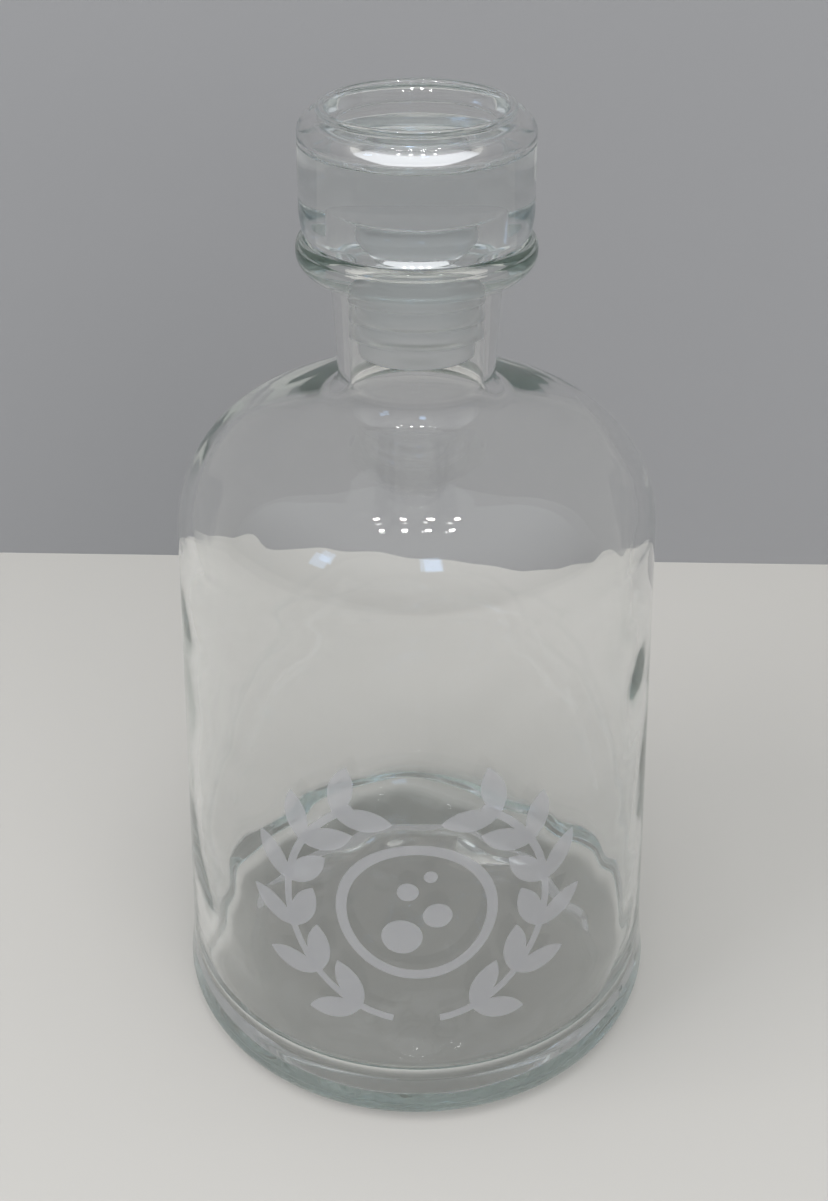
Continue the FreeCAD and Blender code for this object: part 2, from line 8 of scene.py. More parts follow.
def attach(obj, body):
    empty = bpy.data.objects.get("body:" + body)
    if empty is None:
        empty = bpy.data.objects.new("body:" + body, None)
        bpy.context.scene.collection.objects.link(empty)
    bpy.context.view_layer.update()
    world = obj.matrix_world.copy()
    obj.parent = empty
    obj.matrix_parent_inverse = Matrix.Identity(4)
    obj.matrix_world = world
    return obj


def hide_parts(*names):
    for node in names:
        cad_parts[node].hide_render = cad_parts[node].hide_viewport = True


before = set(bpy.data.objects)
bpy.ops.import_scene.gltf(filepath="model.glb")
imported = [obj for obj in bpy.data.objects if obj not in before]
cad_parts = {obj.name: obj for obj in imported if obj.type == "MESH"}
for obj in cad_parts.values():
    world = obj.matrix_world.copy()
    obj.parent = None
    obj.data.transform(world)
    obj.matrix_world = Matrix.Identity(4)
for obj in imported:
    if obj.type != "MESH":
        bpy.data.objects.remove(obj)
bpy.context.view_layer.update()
mm = 0.001
turnAxis = (0, 0, 1)
profileAxis = (0, 1, 0)  # profiles are drawn on the XZ plane: x is the radius, z the height
mergeDistance = 0.002  # vertices nearer to each other than this, in millimetres, become one
cutTolerance = 0.0001


# Drawing a profile: a wire of edges that grows from one end, then one full turn about Z.

def newProfile(radius, height):
    bm = bmesh.new()
    return bm, bm.verts.new((radius * mm, 0, height * mm))


def lineTo(bm, start, radius, height, pieces=1):
    first = start.co.copy()
    last = Vector((radius * mm, 0, height * mm))
    for i in range(1, pieces + 1):
        end = bm.verts.new(first.lerp(last, i / pieces))
        bm.edges.new((start, end))
        start = end
    return start


def arcAbout(bm, start, centreRadius, centreHeight, sweep, stepAngle=4):
    # sweep in degrees, positive from +X towards +Z
    steps = max(2, round(abs(sweep) / stepAngle))
    turned = bmesh.ops.spin(bm, geom=[start], cent=(centreRadius * mm, 0, centreHeight * mm),
                            axis=profileAxis, angle=-math.radians(sweep), steps=steps)
    return [v for v in turned["geom_last"] if isinstance(v, bmesh.types.BMVert)][0]


def angleTo(centre, spot):
    return math.degrees(math.atan2(spot[1] - centre[1], spot[0] - centre[0]))


def arcTo(bm, start, centre, end, stepAngle=4):
    # the shorter way round
    here = (start.co.x / mm, start.co.z / mm)
    sweep = (angleTo(centre, end) - angleTo(centre, here) + 180) % 360 - 180
    return arcAbout(bm, start, centre[0], centre[1], sweep, stepAngle)


def tangentFrom(spot, centre, radius, side):
    # where a line from spot touches the circle; side 1 passes it on the left, -1 on the right
    reach = math.dist(spot, centre)
    lean = math.radians(angleTo(spot, centre)) + side * math.asin(radius / reach)
    length = math.sqrt(reach ** 2 - radius ** 2)
    return spot[0] + length * math.cos(lean), spot[1] + length * math.sin(lean)


def towards(centre, other, distance):
    share = distance / math.dist(centre, other)
    return centre[0] + share * (other[0] - centre[0]), centre[1] + share * (other[1] - centre[1])


def roundCorner(bm, corner, offset, segments):
    bmesh.ops.bevel(bm, geom=[corner], offset=offset * mm, offset_type="OFFSET", segments=segments,
                    profile=0.5, affect="VERTICES", material=-1)


def turnProfile(bm, name, segments, afterTurn=None):
    bmesh.ops.spin(bm, geom=bm.verts[:] + bm.edges[:], cent=(0, 0, 0), axis=turnAxis,
                   angle=2 * math.pi, steps=segments, use_merge=True)
    bmesh.ops.remove_doubles(bm, verts=bm.verts, dist=mergeDistance * mm)
    bmesh.ops.recalc_face_normals(bm, faces=bm.faces)
    if afterTurn:
        bm.normal_update()
        afterTurn(bm)
    for face in bm.faces:
        face.smooth = True
    return meshObject(bm, name)


def meshObject(bm, name):
    mesh = bpy.data.meshes.new(name)
    bm.to_mesh(mesh)
    bm.free()
    piece = bpy.data.objects.new(name, mesh)
    bpy.context.scene.collection.objects.link(piece)
    return piece


def outwards(low, high):
    length = math.dist(low, high)
    return (high[1] - low[1]) / length, -(high[0] - low[0]) / length


def shoulderArcs(low, sideTop, turnRadius, crownRadius, foot, filletRadius, high):
    # turn, crown and hollow curve, each tangent to the next, between a side and a neck line
    out = outwards(low, sideTop)
    turn = (sideTop[0] - turnRadius * out[0], sideTop[1] - turnRadius * out[1])
    out = outwards(foot, high)
    hollow = (foot[0] + filletRadius * out[0], foot[1] + filletRadius * out[1])
    reach = math.dist(turn, hollow)
    inner = crownRadius - turnRadius
    outer = crownRadius + filletRadius
    lean = math.radians(angleTo(turn, hollow))
    lean += math.acos((inner ** 2 + reach ** 2 - outer ** 2) / (2 * inner * reach))
    crown = (turn[0] + inner * math.cos(lean), turn[1] + inner * math.sin(lean))
    turnEnd = towards(crown, turn, crownRadius)
    crownEnd = towards(crown, hollow, crownRadius)
    return turn, turnEnd, crown, crownEnd, hollow


# Bottle: sizes in millimetres, the same as the solid's

bottle = {
    "bearingOuterRadius": 45.5, "bearingInnerRadius": 41.0, "bearingRound": 0.8,
    "heelRadius": 52.98, "heelRound": 3.0, "heelRise": 4.1, "heelHeight": 17.0,
    "bodyLowRadius": 51.9, "bodyRadius": 49.8, "bodyHeight": 116.8,
    "shoulderRadius": 24.9, "crownRadius": 76.14, "innerCrownRadius": 146.2, "neckFootHeight": 150.0,
    "neckFillet": 5.4, "neckBaseRadius": 15.9, "neckTopRadius": 17.65, "topHeight": 179.0,
    "neckCornerRound": 1.0,
    "beadCentreRadius": 19.6, "beadDrop": 2.95, "beadRadius": 4.15, "beadUnderReach": 0.9,
    "beadDepth": 7.5, "partingRise": 1.7, "partingStep": 0.25, "sealingRadius": 21.5,
    "wall": 3.3, "boreRadius": 13.35, "mouthRound": 1.2,
    "floorHeight": 5.2, "innerHeelRadius": 9.0, "innerDomeRadius": 36.8, "floorRise": 7.2,
    "floorOffset": 1.9, "puntDepth": 8.0,
    "segments": 256,
    # unevenness of the inside, as blown glass has
    "waveDepth": 0.6, "waveSize": 30.0, "rippleDepth": 0.15, "rippleSize": 11.0,
    "floorWaveDepth": 1.3, "floorWaveSize": 8.0,
    "rippleShift": (7, 3, 5),  # so that the ripple doesn't follow the wave
    "waveFloorGap": 2.0, "waveFadeLow": 12.0, "waveFadeHigh": 14.0, "waveAxisGap": 5.0,
    "floorSlack": 0.1, "floorLevel": 0.9,  # how near to the floor's heights, and how level, a spot of it is
    "tint": (0.60, 0.69, 0.65, 1), "tintDensity": 13.0, "roughness": 0.02,
}


def domeCentre(edgeRadius, edgeHeight, topHeight):
    rise = topHeight - edgeHeight
    return 0.0, topHeight - (edgeRadius ** 2 + rise ** 2) / (2 * rise)


def makeBottle(s):
    top = s["topHeight"]
    bm, start = newProfile(0, s["puntDepth"])
    ring = (s["bearingInnerRadius"], 0.0)
    spot = arcTo(bm, start, domeCentre(ring[0], 0.0, s["puntDepth"]), ring, 1.0)
    bearingEdge = spot
    spot = lineTo(bm, spot, s["bearingOuterRadius"], 0.0)
    low = (s["bodyLowRadius"], s["heelHeight"])
    sideTop = (s["bodyRadius"], s["bodyHeight"])
    out = outwards(low, sideTop)
    heel = (s["heelRadius"] - s["heelRound"], s["heelRise"])
    gap = (low[0] - heel[0], low[1] - heel[1])
    across = s["heelRound"] - gap[0] * out[0] - gap[1] * out[1]
    flareRadius = (gap[0] ** 2 + gap[1] ** 2 - s["heelRound"] ** 2) / (2 * across)
    flare = (low[0] + flareRadius * out[0], low[1] + flareRadius * out[1])
    heelStart = tangentFrom((s["bearingOuterRadius"], 0.0), heel, s["heelRound"], -1)
    spot = lineTo(bm, spot, heelStart[0], heelStart[1], 3)
    spot = arcTo(bm, spot, heel, towards(heel, flare, s["heelRound"]), 8.0)
    spot = arcTo(bm, spot, flare, low, 0.6)
    spot = lineTo(bm, spot, sideTop[0], sideTop[1], 40)

    foot = (s["neckBaseRadius"], s["neckFootHeight"])
    high = (s["neckTopRadius"], top)
    turn, turnEnd, crown, crownEnd, hollow = shoulderArcs(
        low, sideTop, s["shoulderRadius"], s["crownRadius"], foot, s["neckFillet"], high)
    spot = arcTo(bm, spot, turn, turnEnd, 2.0)
    spot = arcTo(bm, spot, crown, crownEnd, 1.0)
    spot = arcTo(bm, spot, hollow, foot, 5.0)
    beadFoot = top - s["beadDepth"]
    share = (beadFoot - foot[1]) / (high[1] - foot[1])
    spot = lineTo(bm, spot, foot[0] + share * (high[0] - foot[0]), beadFoot, 6)
    neckCorner = spot
    centre = (s["beadCentreRadius"], top - s["beadDrop"])
    under = (centre[0] + s["beadUnderReach"],
             centre[1] - math.sqrt(s["beadRadius"] ** 2 - s["beadUnderReach"] ** 2))
    spot = lineTo(bm, spot, under[0], under[1], 2)
    parting = (centre[0] + math.sqrt(s["beadRadius"] ** 2 - s["partingRise"] ** 2),
               centre[1] + s["partingRise"])
    spot = arcTo(bm, spot, centre, parting, 6.0)
    crestStart = (parting[0] - s["partingStep"], parting[1])
    spot = lineTo(bm, spot, crestStart[0], crestStart[1])
    across = crestStart[0] - s["sealingRadius"]
    down = top - crestStart[1]
    crestRadius = (across ** 2 + down ** 2) / (2 * down)
    spot = arcTo(bm, spot, (s["sealingRadius"], top - crestRadius), (s["sealingRadius"], top), 6.0)
    spot = lineTo(bm, spot, s["boreRadius"] + s["mouthRound"], top, 3)
    spot = arcTo(bm, spot, (s["boreRadius"] + s["mouthRound"], top - s["mouthRound"]),
                 (s["boreRadius"], top - s["mouthRound"]), 11.0)

    inner = (s["boreRadius"], s["neckFootHeight"])
    spot = lineTo(bm, spot, inner[0], inner[1], 12)
    innerTop = (s["bodyRadius"] - s["wall"], s["bodyHeight"])
    innerLow = (s["bodyLowRadius"] - s["wall"], s["floorHeight"] + s["innerHeelRadius"])
    innerFillet = s["neckFillet"] + s["neckBaseRadius"] - s["boreRadius"]
    turn, turnEnd, crown, crownEnd, hollow = shoulderArcs(
        innerLow, innerTop, s["shoulderRadius"] - s["wall"], s["innerCrownRadius"], inner, innerFillet,
        (s["boreRadius"], top))
    spot = arcTo(bm, spot, hollow, crownEnd, 4.0)
    spot = arcTo(bm, spot, crown, turnEnd, 1.0)
    spot = arcTo(bm, spot, turn, innerTop, 2.0)
    spot = lineTo(bm, spot, innerLow[0], innerLow[1], 40)
    heelCentre = (innerLow[0] - s["innerHeelRadius"], innerLow[1])
    spot = arcTo(bm, spot, heelCentre, (heelCentre[0], s["floorHeight"]), 4.0)
    floorEdge = lineTo(bm, spot, s["innerDomeRadius"], s["floorHeight"])
    domeTop = (0.0, s["floorHeight"] + s["floorRise"])
    arcTo(bm, floorEdge, domeCentre(s["innerDomeRadius"], s["floorHeight"], domeTop[1]), domeTop, 1.0)
    roundCorner(bm, floorEdge, s["floorOffset"], 5)
    roundCorner(bm, bearingEdge, s["bearingRound"] / 2, 4)
    roundCorner(bm, neckCorner, s["neckCornerRound"], 4)
    return turnProfile(bm, "bottleGlass", s["segments"], lambda turned: waveInside(turned, s))


def waveInside(bm, s):
    # only the inner floor and wall move; the wall's faces point to the axis
    moves = []
    for vert in bm.verts:
        spot = vert.co
        height = spot.z / mm
        rise = height - s["floorHeight"]
        nearFloor = -s["floorSlack"] < rise < s["floorRise"] + s["floorSlack"]
        if nearFloor and vert.normal.z > s["floorLevel"]:
            wave = noise.noise(spot / (s["floorWaveSize"] * mm)) * s["floorWaveDepth"]
            moves.append((vert, Vector((0, 0, wave * mm))))
            continue
        aboveFloor = rise - s["waveFloorGap"]
        if aboveFloor < 0 or height > s["neckFootHeight"]:
            continue
        outward = Vector((spot.x, spot.y, 0))
        if outward.length < s["waveAxisGap"] * mm or vert.normal.dot(outward) > 0:
            continue
        fade = min(1, aboveFloor / s["waveFadeLow"], (s["neckFootHeight"] - height) / s["waveFadeHigh"])
        wave = noise.noise(spot / (s["waveSize"] * mm)) * s["waveDepth"]
        ripple = noise.noise(spot / (s["rippleSize"] * mm) + Vector(s["rippleShift"])) * s["rippleDepth"]
        moves.append((vert, vert.normal * (wave + ripple) * fade * mm))
    for vert, move in moves:
        vert.co += move


# Stopper

stopper = {
    "footHeight": 179.56, "footRadius": 22.1, "footCurve": 5.0, "headRadius": 22.9,
    "headHeight": 19.85, "headShoulder": 3.8, "headSweep": 72.0, "lipTop": 204.66,
    "waistInset": 0.8, "waistHeight": 0.6, "lipRadius": 19.2, "lipHalf": 0.55, "lipWall": 1.35,
    "throatRadius": 15.2, "throatRise": 2.0, "throatRound": 0.6,
    "dishRadius": 20.4, "dishShoulder": 0.8, "dishShoulderDrop": 1.3, "dishDepth": 7.6, "dishCorner": 0.6,
    "recessRadius": 11.4, "recessDepth": 5.2, "recessRound": 0.6,
    "footRound": 0.4, "lipInnerRound": 0.3, "waistRound": 0.25, "segments": 224,
    "tint": (0.62, 0.70, 0.70, 1), "tintDensity": 10.0, "roughness": 0.05,
}


def makeStopper(s):
    foot = s["footHeight"]
    bm, start = newProfile(0, foot + s["recessDepth"])
    recessCorner = lineTo(bm, start, s["recessRadius"], foot + s["recessDepth"])
    spot = lineTo(bm, recessCorner, s["recessRadius"], foot)
    footEdge = lineTo(bm, spot, s["footRadius"], foot, 3)
    across = s["headRadius"] - s["footRadius"]
    curve = (across ** 2 + s["footCurve"] ** 2) / (2 * across)
    headLow = (s["headRadius"], foot + s["footCurve"])
    spot = arcTo(bm, footEdge, (headLow[0] - curve, headLow[1]), headLow, 2.0)
    headTop = foot + s["headHeight"]
    spot = lineTo(bm, spot, s["headRadius"], headTop, 10)
    spot = arcAbout(bm, spot, s["headRadius"] - s["headShoulder"], headTop, s["headSweep"], 5.0)
    waistRadius = s["lipRadius"] - s["waistInset"]
    lipLow = s["lipTop"] - 2 * s["lipHalf"]
    waistCorner = lineTo(bm, spot, waistRadius, lipLow - s["waistHeight"])
    spot = lineTo(bm, waistCorner, waistRadius, lipLow)
    spot = lineTo(bm, spot, s["lipRadius"] - s["lipHalf"], lipLow)
    spot = arcAbout(bm, spot, s["lipRadius"] - s["lipHalf"], lipLow + s["lipHalf"], 180, 20.0)

    innerLip = lineTo(bm, spot, s["lipRadius"] - s["lipWall"], s["lipTop"])
    lipCorner = (s["lipRadius"] - s["lipWall"], s["lipTop"])
    throat = (s["throatRadius"] + s["throatRound"], headTop + s["throatRise"])
    throatStart = tangentFrom(lipCorner, throat, s["throatRound"], -1)
    spot = lineTo(bm, innerLip, throatStart[0], throatStart[1])
    # a straight ceiling crosses from the throat's circle to the shoulder's, tangent to both
    centre = (s["dishRadius"] - s["dishShoulder"], headTop - s["dishShoulderDrop"])
    lean = math.radians(angleTo(centre, throat))
    lean -= math.acos((s["dishShoulder"] + s["throatRound"]) / math.dist(centre, throat))
    normal = (math.cos(lean), math.sin(lean))
    spot = arcTo(bm, spot, throat, (throat[0] - s["throatRound"] * normal[0],
                                    throat[1] - s["throatRound"] * normal[1]), 12.0)
    spot = lineTo(bm, spot, centre[0] + s["dishShoulder"] * normal[0],
                  centre[1] + s["dishShoulder"] * normal[1])
    spot = arcTo(bm, spot, centre, (s["dishRadius"], centre[1]), 8.0)
    floor = s["lipTop"] - s["dishDepth"]
    corner = (s["dishRadius"] - s["dishCorner"], floor + s["dishCorner"])
    spot = lineTo(bm, spot, s["dishRadius"], corner[1], 2)
    spot = arcTo(bm, spot, corner, (corner[0], floor), 6.0)
    lineTo(bm, spot, 0, floor, 4)
    roundCorner(bm, recessCorner, s["recessRound"], 5)
    roundCorner(bm, footEdge, s["footRound"], 3)
    roundCorner(bm, innerLip, s["lipInnerRound"], 3)
    roundCorner(bm, waistCorner, s["waistRound"], 3)
    return turnProfile(bm, "stopperGlass", s["segments"])


# Ribbed seal: a hollow plug with fins, a thin flange and a shank that sits in the head's recess

seal = {
    "bottom": 155.05, "flangeLow": 179.03, "flangeTop": 179.53, "flangeRadius": 21.2,
    "lowRadius": 11.44, "highRadius": 12.79, "boreRadius": 9.94, "boreTop": 182.72, "tip": 13.3,
    "shankRadius": 11.36, "shankTop": 184.72, "shankRound": 0.8,
    "finTop": 171.6, "finPitch": 3.8, "finCount": 4, "finRoot": 1.5, "finTip": 0.35,
    "edgeRound": 0.12, "lowRound": 0.4, "segments": 160,
    "colour": (0.95, 0.97, 0.97, 1), "roughness": 0.34, "ior": 1.12,
}


def makeSeal(s):
    def wallAt(height):
        share = (height - s["bottom"]) / (s["flangeLow"] - s["bottom"])
        return s["lowRadius"] + (s["highRadius"] - s["lowRadius"]) * share

    bm, start = newProfile(0, s["boreTop"])
    spot = lineTo(bm, start, s["boreRadius"], s["boreTop"], 3)
    spot = lineTo(bm, spot, s["boreRadius"], s["bottom"], 12)
    lowEdge = lineTo(bm, spot, s["lowRadius"], s["bottom"])
    spot = lowEdge
    tips = []
    for i in range(s["finCount"] - 1, -1, -1):
        finTop = s["finTop"] - i * s["finPitch"]
        spot = lineTo(bm, spot, wallAt(finTop - s["finRoot"]), finTop - s["finRoot"], 2)
        spot = lineTo(bm, spot, s["tip"], finTop - s["finTip"], 2)
        tips.append(spot)
        spot = lineTo(bm, spot, s["tip"], finTop)
        tips.append(spot)
        spot = lineTo(bm, spot, wallAt(finTop), finTop, 2)
    spot = lineTo(bm, spot, s["highRadius"], s["flangeLow"], 4)
    spot = lineTo(bm, spot, s["flangeRadius"], s["flangeLow"], 4)
    tips.append(spot)
    spot = lineTo(bm, spot, s["flangeRadius"], s["flangeTop"])
    tips.append(spot)
    spot = lineTo(bm, spot, s["shankRadius"], s["flangeTop"], 4)
    shankEdge = lineTo(bm, spot, s["shankRadius"], s["shankTop"], 2)
    lineTo(bm, shankEdge, 0, s["shankTop"], 3)
    for tip in tips:
        roundCorner(bm, tip, s["edgeRound"], 2)
    roundCorner(bm, lowEdge, s["lowRound"], 3)
    roundCorner(bm, shankEdge, s["shankRound"], 5)
    return turnProfile(bm, "sealRubber", s["segments"])


# Frosted emblem on the front: a wreath of two leafy sprigs around a ring with rising bubbles

emblem = {
    "height": 55.0, "lift": 0.05, "stripWidth": 2.0,
    "ringRadius": 15.5, "ringWidth": 2.3,
    "bubbles": [(-3.0, -6.0, 4.2), (4.2, -0.7, 3.0), (-1.8, 5.2, 2.2), (2.8, 8.9, 1.4)],
    "stemRadius": 27.5, "stemWidth": 1.7, "stemStart": -80.0, "stemSweep": 142.0,
    "leafCount": 6, "firstLeaf": 0.6, "leafLength": 12.0, "leafHalfWidth": 2.6, "leafSplay": 40.0,
    "colour": (0.38, 0.38, 0.39, 1), "roughness": 0.85, "gloss": 0.2, "cover": 0.62,
}


def addBand(bm, radius, width, start, sweep, steps):
    # a curved stroke about the emblem's middle, angles in degrees from +X towards +Z
    low = bm.verts.new(((radius - width / 2) * mm, 0, 0))
    high = bm.verts.new(((radius + width / 2) * mm, 0, 0))
    stroke = [low, high, bm.edges.new((low, high))]
    bmesh.ops.rotate(bm, verts=stroke[:2], cent=(0, 0, 0),
                     matrix=Matrix.Rotation(-math.radians(start), 3, "Y"))
    bmesh.ops.spin(bm, geom=stroke, cent=(0, 0, 0), axis=profileAxis,
                   angle=-math.radians(sweep), steps=steps, use_merge=sweep == 360)


def addLeaf(bm, length, halfWidth, root, turn):
    # two arcs that meet in a point at each end
    radius = (length ** 2 / 4 + halfWidth ** 2) / (2 * halfWidth)
    sweep = 2 * math.degrees(math.asin(length / 2 / radius))
    first = bm.verts.new((0, 0, 0))
    known = set(bm.verts)
    tip = arcAbout(bm, first, length / 2, halfWidth - radius, -sweep, 8)
    end = arcAbout(bm, tip, length / 2, radius - halfWidth, -sweep, 8)
    leaf = [first] + [v for v in bm.verts if v not in known and v is not end]
    bmesh.ops.pointmerge(bm, verts=[first, end], merge_co=(0, 0, 0))
    edges = {edge for vert in leaf for edge in vert.link_edges}
    bmesh.ops.contextual_create(bm, geom=list(edges))
    bmesh.ops.rotate(bm, verts=leaf, cent=(0, 0, 0), matrix=Matrix.Rotation(-math.radians(turn), 3, "Y"))
    bmesh.ops.translate(bm, verts=leaf, vec=(root[0] * mm, 0, root[1] * mm))


def addSprig(bm, s, side):
    start = s["stemStart"] if side > 0 else 180 - s["stemStart"] - s["stemSweep"]
    addBand(bm, s["stemRadius"], s["stemWidth"], start, s["stemSweep"], 36)
    for i in range(s["leafCount"]):
        place = s["stemStart"] + s["stemSweep"] * (i + s["firstLeaf"]) / s["leafCount"]
        ahead = place + 90
        for splay in (-s["leafSplay"], s["leafSplay"]):
            angle = math.radians(place)
            root = (side * s["stemRadius"] * math.cos(angle), s["stemRadius"] * math.sin(angle))
            turn = ahead + splay
            addLeaf(bm, s["leafLength"], s["leafHalfWidth"], root, turn if side > 0 else 180 - turn)


def wrapOnBottle(bm, s, b):
    # cut in narrow upright strips first, so that the drawing can bend round the side
    reach = max(abs(vert.co.x) for vert in bm.verts) / mm
    for i in range(-int(reach / s["stripWidth"]), int(reach / s["stripWidth"]) + 1):
        bmesh.ops.bisect_plane(bm, geom=bm.verts[:] + bm.edges[:] + bm.faces[:], dist=cutTolerance * mm,
                               plane_co=(i * s["stripWidth"] * mm, 0, 0), plane_no=(1, 0, 0))
    taper = (b["bodyLowRadius"] - b["bodyRadius"]) / (b["bodyHeight"] - b["heelHeight"])
    for vert in bm.verts:
        height = s["height"] + vert.co.z / mm
        radius = b["bodyLowRadius"] - taper * (height - b["heelHeight"]) + s["lift"]
        turn = vert.co.x / mm / b["bodyLowRadius"]
        vert.co = Vector((radius * math.sin(turn), -radius * math.cos(turn), height)) * mm


def makeEmblem(s, b):
    bm = bmesh.new()
    addBand(bm, s["ringRadius"], s["ringWidth"], 0, 360, 72)
    for across, up, radius in s["bubbles"]:
        place = Matrix.Translation((across * mm, 0, up * mm)) @ Matrix.Rotation(math.pi / 2, 4, "X")
        bmesh.ops.create_circle(bm, cap_ends=True, segments=28, radius=radius * mm, matrix=place)
    for side in (-1, 1):
        addSprig(bm, s, side)
    wrapOnBottle(bm, s, b)
    bm.normal_update()
    for face in bm.faces:
        if face.normal.y > 0:
            face.normal_flip()
    return meshObject(bm, "frostedEmblem")


# Materials

def newMaterial(name):
    material = bpy.data.materials.new(name)
    material.use_nodes = True
    tree = material.node_tree
    tree.nodes.clear()
    return material, tree, tree.nodes.new("ShaderNodeOutputMaterial")


glassIor = 1.5
lampShare = (0.88, 0.885, 0.885, 1)  # what each surface of the glass lets through to what lies behind it


def makeGlass(name, s):
    # clear glass that lets lamps through to what stands behind it, tinted by its thickness
    material, tree, output = newMaterial(name)
    glass = tree.nodes.new("ShaderNodeBsdfPrincipled")
    glass.inputs["Base Color"].default_value = (1, 1, 1, 1)
    glass.inputs["Roughness"].default_value = s["roughness"]
    glass.inputs["IOR"].default_value = glassIor
    glass.inputs["Transmission Weight"].default_value = 1.0
    clear = tree.nodes.new("ShaderNodeBsdfTransparent")
    clear.inputs["Color"].default_value = lampShare
    path = tree.nodes.new("ShaderNodeLightPath")
    mix = tree.nodes.new("ShaderNodeMixShader")
    tree.links.new(path.outputs["Is Shadow Ray"], mix.inputs["Fac"])
    tree.links.new(glass.outputs["BSDF"], mix.inputs[1])
    tree.links.new(clear.outputs["BSDF"], mix.inputs[2])
    tree.links.new(mix.outputs["Shader"], output.inputs["Surface"])
    volume = tree.nodes.new("ShaderNodeVolumeAbsorption")
    volume.inputs["Color"].default_value = s["tint"]
    volume.inputs["Density"].default_value = s["tintDensity"]
    tree.links.new(volume.outputs["Volume"], output.inputs["Volume"])
    return material


def makeRubber(name, s):
    material, tree, output = newMaterial(name)
    rubber = tree.nodes.new("ShaderNodeBsdfPrincipled")
    rubber.inputs["Base Color"].default_value = s["colour"]
    rubber.inputs["Roughness"].default_value = s["roughness"]
    rubber.inputs["IOR"].default_value = s["ior"]
    rubber.inputs["Transmission Weight"].default_value = 1.0
    tree.links.new(rubber.outputs["BSDF"], output.inputs["Surface"])
    return material


def makeFrost(name, s):
    material, tree, output = newMaterial(name)
    frost = tree.nodes.new("ShaderNodeBsdfPrincipled")
    frost.inputs["Base Color"].default_value = s["colour"]
    frost.inputs["Roughness"].default_value = s["roughness"]
    frost.inputs["Specular IOR Level"].default_value = s["gloss"]
    frost.inputs["Alpha"].default_value = s["cover"]
    tree.links.new(frost.outputs["BSDF"], output.inputs["Surface"])
    return material


def makeFloorPlaster(name, s):
    material, tree, output = newMaterial(name)
    plain = tree.nodes.new("ShaderNodeBsdfPrincipled")
    plain.inputs["Base Color"].default_value = s["floorColour"]
    plain.inputs["Roughness"].default_value = s["floorRoughness"]
    plain.inputs["Specular IOR Level"].default_value = s["floorGloss"]
    tree.links.new(plain.outputs["BSDF"], output.inputs["Surface"])
    return material


# Stage: floor, one-sided backdrop, lamps and camera

stage = {
    "floorColour": (0.50, 0.485, 0.455, 1), "wallColour": (0.30, 0.30, 0.305, 1),
    "floorSize": 3.0,  # metres each way from the bottle
    "floorRoughness": 0.6, "floorGloss": 0.2,
    "wallDistance": 174.0, "wallTurn": 1.6, "wallHalfWidth": 2500.0, "wallHeight": 900.0,
    "evenShare": 0.8,  # how much of the wall's light is the same everywhere, seen through glass
    "horizonColour": (0.08, 0.083, 0.09, 1), "overheadColour": (0.92, 0.94, 0.97, 1),
    "horizonEnd": 0.05, "overheadStart": 0.8, "backColour": (0.36, 0.36, 0.365, 1),
}


def makeFloor(s):
    bm = bmesh.new()
    bmesh.ops.create_grid(bm, x_segments=1, y_segments=1, size=s["floorSize"])
    floor = meshObject(bm, "floor")
    floor.data.materials.append(makeFloorPlaster("palePlaster", s))


def makeWall(s):
    bm = bmesh.new()
    half = s["wallHalfWidth"] * mm
    bmesh.ops.create_grid(bm, x_segments=1, y_segments=1, size=1)
    bmesh.ops.scale(bm, verts=bm.verts, vec=(half, s["wallHeight"] / 2 * mm, 1))
    bmesh.ops.rotate(bm, verts=bm.verts, cent=(0, 0, 0), matrix=Matrix.Rotation(math.pi / 2, 3, "X"))
    bmesh.ops.translate(bm, verts=bm.verts, vec=(0, 0, s["wallHeight"] / 2 * mm))
    bmesh.ops.rotate(bm, verts=bm.verts, cent=(0, 0, 0),
                     matrix=Matrix.Rotation(-math.radians(s["wallTurn"]), 3, "Z"))
    bmesh.ops.translate(bm, verts=bm.verts, vec=(0, s["wallDistance"] * mm, 0))
    wall = meshObject(bm, "wall")
    material, tree, output = newMaterial("greyPlaster")
    plain = tree.nodes.new("ShaderNodeBsdfDiffuse")
    plain.inputs["Color"].default_value = s["wallColour"]
    clear = tree.nodes.new("ShaderNodeBsdfTransparent")
    side = tree.nodes.new("ShaderNodeNewGeometry")
    mix = tree.nodes.new("ShaderNodeMixShader")
    # glass shows the far ends of the wall as bright as its middle
    even = tree.nodes.new("ShaderNodeEmission")
    even.inputs["Color"].default_value = s["wallColour"]
    path = tree.nodes.new("ShaderNodeLightPath")
    part = tree.nodes.new("ShaderNodeMath")
    part.operation = "MULTIPLY"
    part.inputs[1].default_value = s["evenShare"]
    seen = tree.nodes.new("ShaderNodeMixShader")
    tree.links.new(path.outputs["Is Transmission Ray"], part.inputs[0])
    tree.links.new(part.outputs["Value"], seen.inputs["Fac"])
    tree.links.new(plain.outputs["BSDF"], seen.inputs[1])
    tree.links.new(even.outputs["Emission"], seen.inputs[2])
    tree.links.new(side.outputs["Backfacing"], mix.inputs["Fac"])
    tree.links.new(seen.outputs["Shader"], mix.inputs[1])
    tree.links.new(clear.outputs["BSDF"], mix.inputs[2])
    tree.links.new(mix.outputs["Shader"], output.inputs["Surface"])
    wall.data.materials.append(material)


